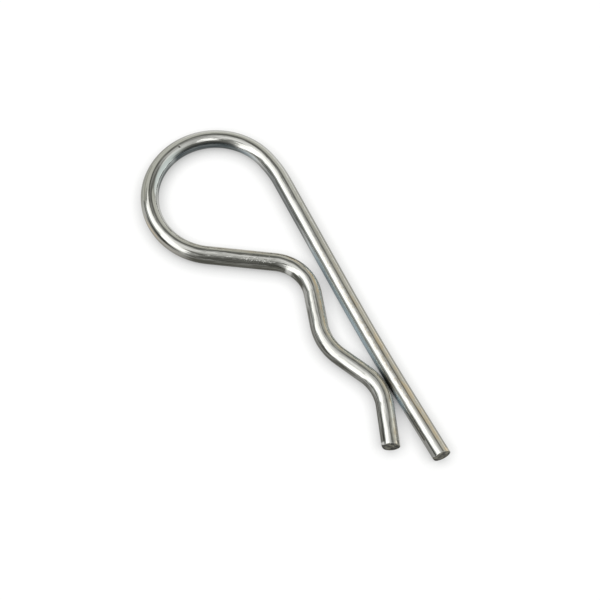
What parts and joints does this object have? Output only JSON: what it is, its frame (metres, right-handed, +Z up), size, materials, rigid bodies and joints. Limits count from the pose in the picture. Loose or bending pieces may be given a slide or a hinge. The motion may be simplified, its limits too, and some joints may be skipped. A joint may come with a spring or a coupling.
{
  "type": "hitch r clip pin",
  "caption": "Spring R clip bent from one round wire: straight leg for a cross-hole, round loop, and a bent leg that snaps over a shaft.",
  "frame": {"origin": "middle of the footprint of the clip, on the surface that it lies on", "axes": "+X along the straight leg towards its sheared tip, +Y from the bent leg towards the straight leg, +Z up out of the plane of the bends"},
  "size_m": [0.0948, 0.0332, 0.004],
  "materials": {
    "zinc_wire": "bright zinc plate over drawn spring steel, with fine draw lines along the wire and bare dark steel on the two sheared ends"
  },
  "bodies": {
    "root": {"spring_wire": "zinc_wire"}
  },
  "joints": []
}
